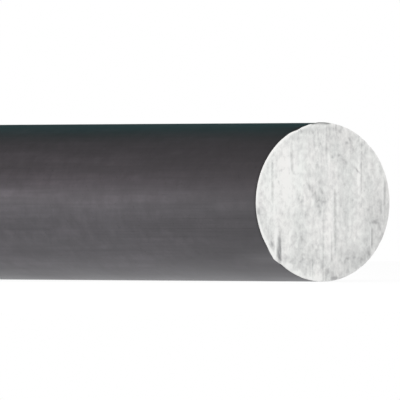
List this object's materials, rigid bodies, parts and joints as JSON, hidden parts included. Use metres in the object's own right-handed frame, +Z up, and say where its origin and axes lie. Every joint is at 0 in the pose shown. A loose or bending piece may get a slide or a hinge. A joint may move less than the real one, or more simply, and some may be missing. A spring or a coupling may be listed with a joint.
{
  "type": "round metal bar",
  "caption": "Solid round bar of hot-rolled steel with a dark rolled skin and square sawn ends, stock for machining, turning or framing.",
  "frame": {"origin": "middle of the line that the bar rests on, halfway along its length", "axes": "+X along the bar's axis, +Z up, so the axis runs one radius above the origin"},
  "size_m": [0.3, 0.05, 0.05],
  "materials": {
    "rolled_steel": "satin"
  },
  "bodies": {
    "root": {"round_bar": "rolled_steel"}
  },
  "joints": []
}
